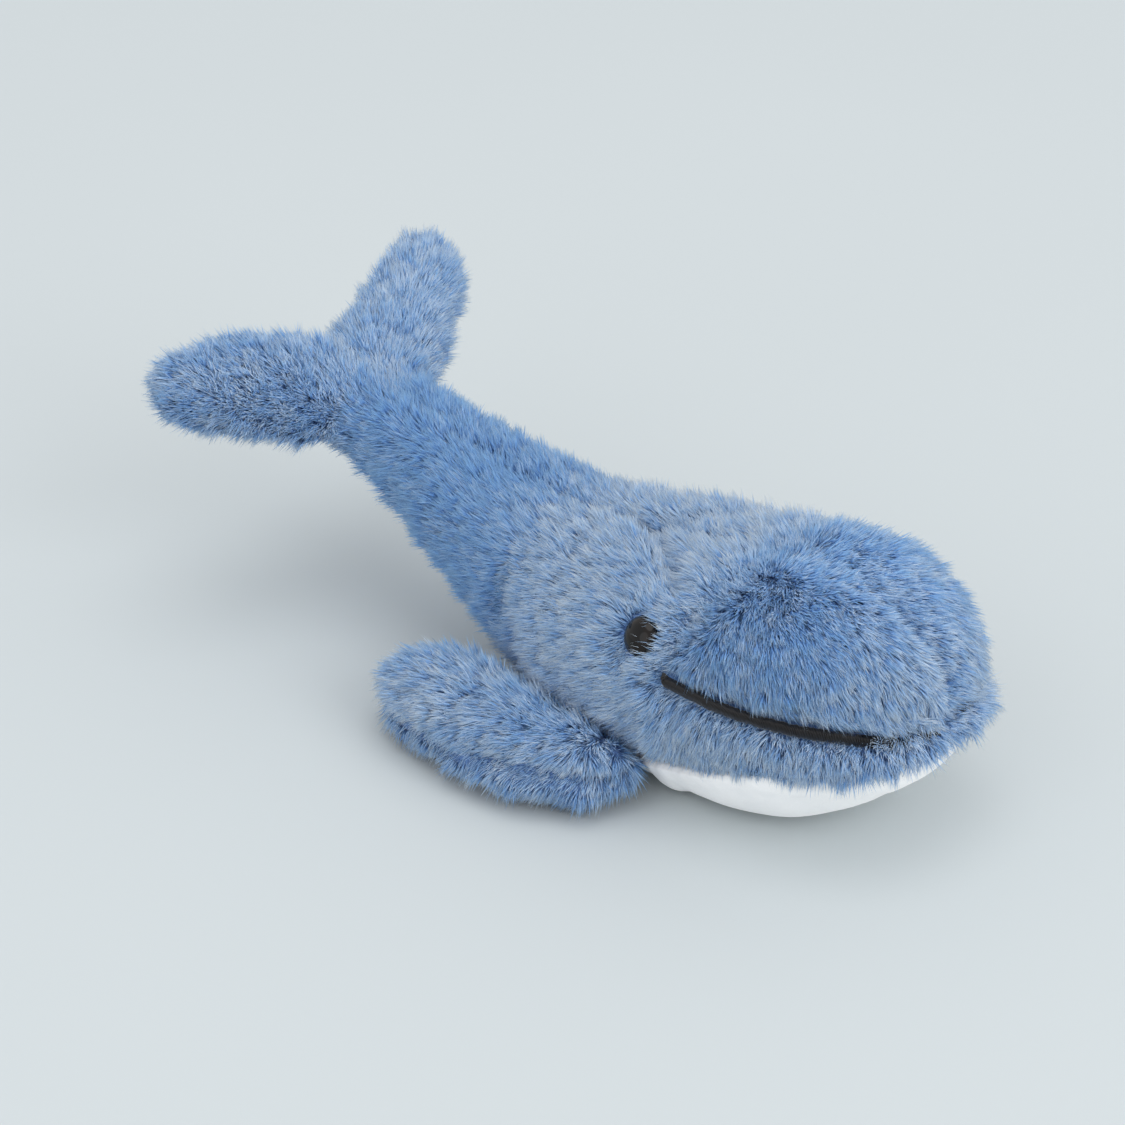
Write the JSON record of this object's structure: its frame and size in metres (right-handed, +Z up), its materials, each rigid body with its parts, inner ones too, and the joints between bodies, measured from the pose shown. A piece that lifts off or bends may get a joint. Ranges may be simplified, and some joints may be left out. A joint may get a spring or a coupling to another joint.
{
  "type": "plush whale",
  "caption": "Stuffed whale with long-pile cover panels, a clipped belly, stitched mouth, safety eyes, paddle fins that flap and a tail that bends at its stock and flukes.",
  "frame": {"origin": "middle of the flat under the belly, on the surface that the toy lies on", "axes": "+Y from the snout to the tail, +X towards the whale's own left, +Z up"},
  "size_m": [0.1476, 0.2591, 0.0889],
  "materials": {
    "blue_pile": "long brushed pile, greyish blue with darker roots",
    "white_pile": "short clipped pile, white",
    "fibre_fill": "loose fibre fill, off-white",
    "black_thread": "satin stitch, black",
    "eye_plastic": "glossy, black with a dark brown iris",
    "washer_plastic": "moulded, off-white"
  },
  "bodies": {
    "body": {"belly_panel": "white_pile", "body_stuffing": "fibre_fill", "right_side_panel": "blue_pile", "left_side_panel": "blue_pile", "right_snout_panel": "blue_pile", "left_snout_panel": "blue_pile", "right_mouth_stitching": "black_thread", "left_mouth_stitching": "black_thread", "right_eye": "eye_plastic", "left_eye": "eye_plastic", "right_eye_washer": "washer_plastic", "left_eye_washer": "washer_plastic"},
    "tail": {"tail_stuffing": "fibre_fill", "right_tail_panel": "blue_pile", "left_tail_panel": "blue_pile"},
    "flukes": {"right_fluke_top_panel": "blue_pile", "left_fluke_top_panel": "blue_pile", "right_fluke_under_panel": "blue_pile", "left_fluke_under_panel": "blue_pile", "right_fluke_stuffing": "fibre_fill", "left_fluke_stuffing": "fibre_fill"},
    "right_fin": {"right_fin_top_panel": "blue_pile", "right_fin_under_panel": "blue_pile", "right_fin_stuffing": "fibre_fill"},
    "left_fin": {"left_fin_top_panel": "blue_pile", "left_fin_under_panel": "blue_pile", "left_fin_stuffing": "fibre_fill"}
  },
  "joints": [
    {"name": "tail_bend", "type": "hinge", "parent": "body", "child": "tail", "pos_m": [0, 0.082, 0.0435], "axis": [1, 0, 0], "range_deg": [-20, 30], "stiffness_Nm_per_rad": 0.5},
    {"name": "fluke_bend", "type": "hinge", "parent": "tail", "child": "flukes", "pos_m": [0, 0.114, 0.05527], "axis": [1, 0, 0], "range_deg": [-25, 25], "stiffness_Nm_per_rad": 0.2},
    {"name": "right_fin_flap", "type": "hinge", "parent": "body", "child": "right_fin", "pos_m": [-0.043, 0.013, 0.024], "axis": [0.1289, 0.9917, 0], "range_deg": [0, 60], "stiffness_Nm_per_rad": 0.03},
    {"name": "left_fin_flap", "type": "hinge", "parent": "body", "child": "left_fin", "pos_m": [0.043, 0.013, 0.024], "axis": [0.1289, -0.9917, 0], "range_deg": [0, 60], "stiffness_Nm_per_rad": 0.03}
  ]
}
